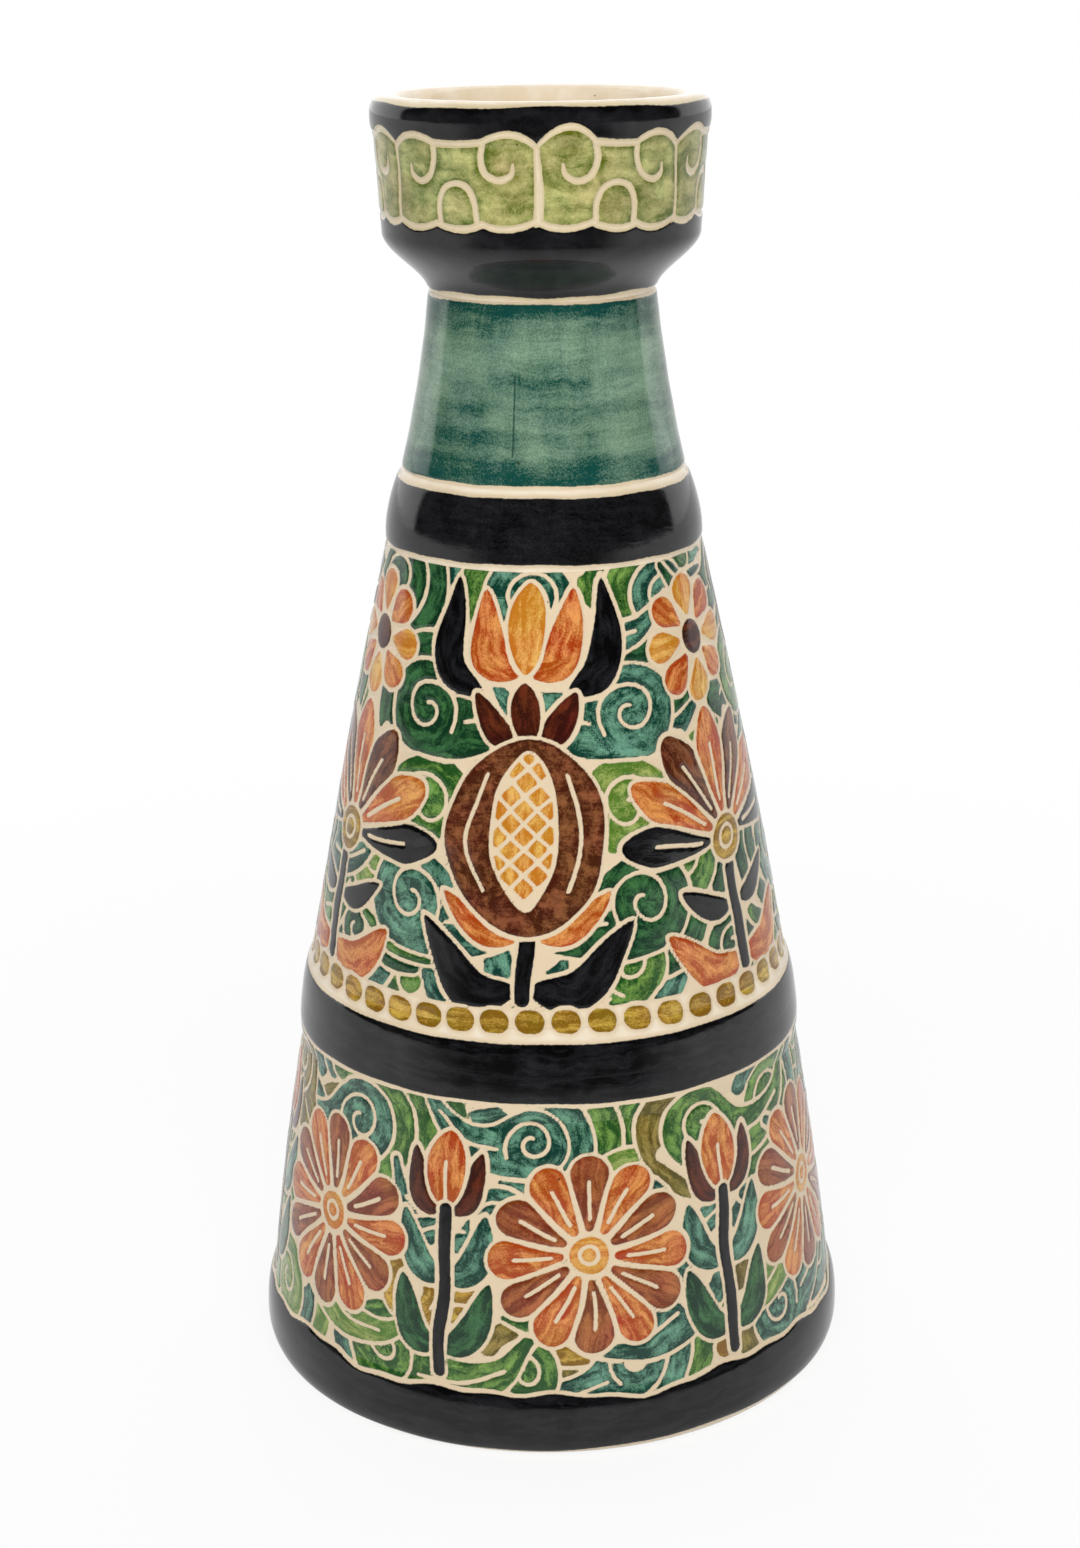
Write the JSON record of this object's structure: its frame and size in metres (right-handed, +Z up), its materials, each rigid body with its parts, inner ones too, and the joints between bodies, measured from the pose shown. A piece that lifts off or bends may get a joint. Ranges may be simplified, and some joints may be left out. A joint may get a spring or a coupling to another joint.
{
  "type": "ceramic vase",
  "caption": "Tall tapering glazed earthenware vase with a cup-shaped mouth, raised black bands and painted friezes, for holding wine, water or cut stems.",
  "frame": {"origin": "on the table, under the middle of the foot", "axes": "+Z up along the vase's axis, -Y towards the viewer of the picture, +X to the viewer's right"},
  "size_m": [0.1448, 0.1448, 0.3006],
  "materials": {
    "bare_clay": "matt, unglazed",
    "cream_glaze": "gloss",
    "black_glaze": "gloss",
    "painted_glaze": "gloss over painted slips",
    "teal_glaze": "gloss, brushed",
    "green_glaze": "gloss"
  },
  "bodies": {
    "root": {"foot_ring": "bare_clay", "floor_disc": "cream_glaze", "foot_band": "black_glaze", "lower_wall": "painted_glaze", "lower_collar": "black_glaze", "middle_wall": "painted_glaze", "upper_collar": "black_glaze", "neck": "teal_glaze", "cup": "green_glaze", "rim_roll": "black_glaze"}
  },
  "joints": []
}
